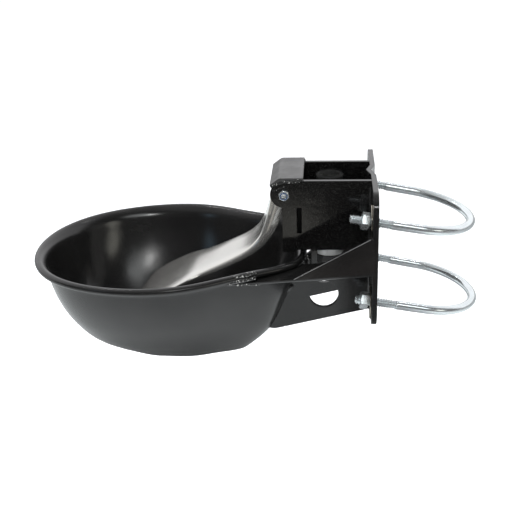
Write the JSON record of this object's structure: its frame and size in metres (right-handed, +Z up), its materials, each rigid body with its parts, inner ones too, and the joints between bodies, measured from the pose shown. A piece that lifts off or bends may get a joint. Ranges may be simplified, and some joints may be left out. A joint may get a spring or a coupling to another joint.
{
  "type": "livestock drinking bowl",
  "caption": "Egg-shaped livestock drinking bowl with a stainless tongue valve, welded bracket and U-bolts for an upright post.",
  "frame": {"origin": "centre of the post groove on the back plate's rear face, midway between the two U-bolts", "axes": "+X from the bowl towards the post, +Z up, +Y to the left when looking along +X"},
  "size_m": [0.3945, 0.2102, 0.17],
  "materials": {
    "enamel_coat": "gloss",
    "zinc_plate": "bright zinc plate",
    "brushed_stainless": "brushed",
    "nickel_body": "nickel plate",
    "white_nylon": "matte",
    "blue_nylon": "matte",
    "black_rubber": "matte"
  },
  "bodies": {
    "bracket": {"bowl": "enamel_coat", "back_plate": "enamel_coat", "side_plate_left": "enamel_coat", "side_plate_right": "enamel_coat", "cap_plate": "enamel_coat", "wing_left": "enamel_coat", "wing_right": "enamel_coat", "strut_left": "enamel_coat", "strut_right": "enamel_coat", "valve_carrier": "enamel_coat", "u_bolt_upper": "zinc_plate", "u_bolt_lower": "zinc_plate", "clamp_nuts": "zinc_plate", "clamp_washers": "zinc_plate", "hinge_bolt": "zinc_plate", "hinge_nut": "zinc_plate", "hinge_nut_ring": "blue_nylon", "hinge_spacer": "brushed_stainless", "hinge_washers": "white_nylon", "valve_body": "nickel_body", "valve_lock_nut": "nickel_body", "valve_seat": "nickel_body", "stem_guide": "white_nylon", "valve_spring": "brushed_stainless", "spring_cap": "nickel_body", "spring_cap_gasket": "black_rubber", "inlet_strainer": "white_nylon", "bottom_plug": "nickel_body", "plug_gasket": "black_rubber"},
    "tongue": {"tongue": "brushed_stainless"},
    "stem": {"valve_stem": "brushed_stainless", "stem_seal": "black_rubber"}
  },
  "joints": [
    {"name": "tongue_hinge", "type": "hinge", "parent": "bracket", "child": "tongue", "pos_m": [-0.0777, 0, 0.05245], "axis": [0, -1, 0], "range_deg": [0, 8], "stiffness_Nm_per_rad": 1.2, "springref_deg": -11.46},
    {"name": "stem_slide", "type": "slide", "parent": "bracket", "child": "stem", "axis": [1, 0, 0], "range_m": [0, 0.0036], "deforming": ["valve_spring"]}
  ],
  "couplings": [
    {"joint": "stem_slide", "follows": "tongue_hinge", "m_per_rad": 0.0243}
  ]
}
